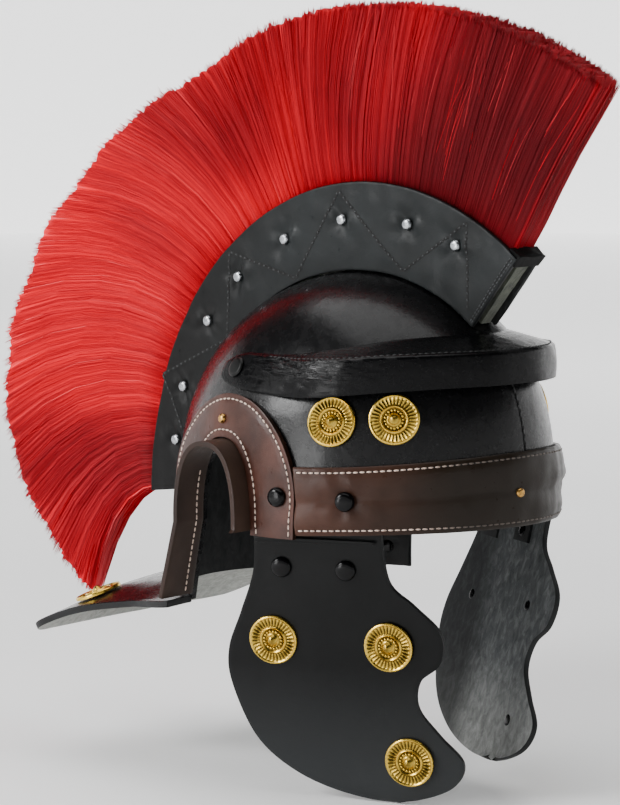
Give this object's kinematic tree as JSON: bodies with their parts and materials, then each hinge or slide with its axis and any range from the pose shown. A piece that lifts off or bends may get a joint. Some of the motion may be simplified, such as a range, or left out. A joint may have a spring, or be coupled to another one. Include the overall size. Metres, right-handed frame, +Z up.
{
  "type": "roman centurion helmet",
  "caption": "Black leather Roman helmet with a standing brow guard, brown ear surrounds and band, sloping neck guard, hanging cheek guards, gilt rosettes and a fore-and-aft red hair crest.",
  "frame": {"origin": "middle of the head opening, level with the lower edge of the bowl at the ears", "axes": "front of the helmet faces -Y, the wearer's right is -X and up is +Z"},
  "size_m": [0.224, 0.4624, 0.4506],
  "materials": {
    "glossy_black_leather": "glossy dyed and waxed leather",
    "satin_black_leather": "satin dyed leather",
    "brown_leather": "oiled brown leather",
    "grey_felt": "matt pressed felt",
    "red_horsehair": "combed dyed horsehair",
    "gilded_brass": "gilded pressed brass",
    "brass": "plain brass",
    "nickel_plated_steel": "nickel plate"
  },
  "bodies": {
    "root": {"bowl": "glossy_black_leather", "brow_band": "brown_leather", "brow_guard": "glossy_black_leather", "cheek_guard_left": "glossy_black_leather", "cheek_guard_right": "glossy_black_leather", "cheek_strap_front_left": "glossy_black_leather", "cheek_strap_front_right": "glossy_black_leather", "cheek_strap_rear_left": "glossy_black_leather", "cheek_strap_rear_right": "glossy_black_leather", "crest_brush": "red_horsehair", "crest_core": "grey_felt", "crest_side_left": "satin_black_leather", "crest_side_right": "satin_black_leather", "ear_flange_left": "brown_leather", "ear_flange_right": "brown_leather", "ear_panel_left": "brown_leather", "ear_panel_right": "brown_leather", "neck_guard": "glossy_black_leather", "rivet_brow_front": "brass", "rivet_cheek_front_left": "glossy_black_leather", "rivet_cheek_front_right": "glossy_black_leather", "rivet_cheek_rear_left": "glossy_black_leather", "rivet_cheek_rear_right": "glossy_black_leather", "rivet_crest_1_left": "nickel_plated_steel", "rivet_crest_1_right": "nickel_plated_steel", "rivet_crest_2_left": "nickel_plated_steel", "rivet_crest_2_right": "nickel_plated_steel", "rivet_crest_3_left": "nickel_plated_steel", "rivet_crest_3_right": "nickel_plated_steel", "rivet_crest_4_left": "nickel_plated_steel", "rivet_crest_4_right": "nickel_plated_steel", "rivet_crest_5_left": "nickel_plated_steel", "rivet_crest_5_right": "nickel_plated_steel", "rivet_crest_6_left": "nickel_plated_steel", "rivet_crest_6_right": "nickel_plated_steel", "rivet_crest_7_left": "nickel_plated_steel", "rivet_crest_7_right": "nickel_plated_steel", "rivet_crest_8_left": "nickel_plated_steel", "rivet_crest_8_right": "nickel_plated_steel", "rivet_ear_left": "brass", "rivet_ear_right": "brass", "rivet_lug_left": "glossy_black_leather", "rivet_lug_right": "glossy_black_leather", "rivet_strap_front_left": "glossy_black_leather", "rivet_strap_front_right": "glossy_black_leather", "rivet_strap_rear_left": "glossy_black_leather", "rivet_strap_rear_right": "glossy_black_leather", "rosette_bowl_front_left": "gilded_brass", "rosette_bowl_front_right": "gilded_brass", "rosette_bowl_rear_left": "gilded_brass", "rosette_bowl_rear_right": "gilded_brass", "rosette_cheek_front_left": "gilded_brass", "rosette_cheek_front_right": "gilded_brass", "rosette_cheek_low_left": "gilded_brass", "rosette_cheek_low_right": "gilded_brass", "rosette_cheek_rear_left": "gilded_brass", "rosette_cheek_rear_right": "gilded_brass", "rosette_neck_left": "gilded_brass", "rosette_neck_right": "gilded_brass"}
  },
  "joints": []
}
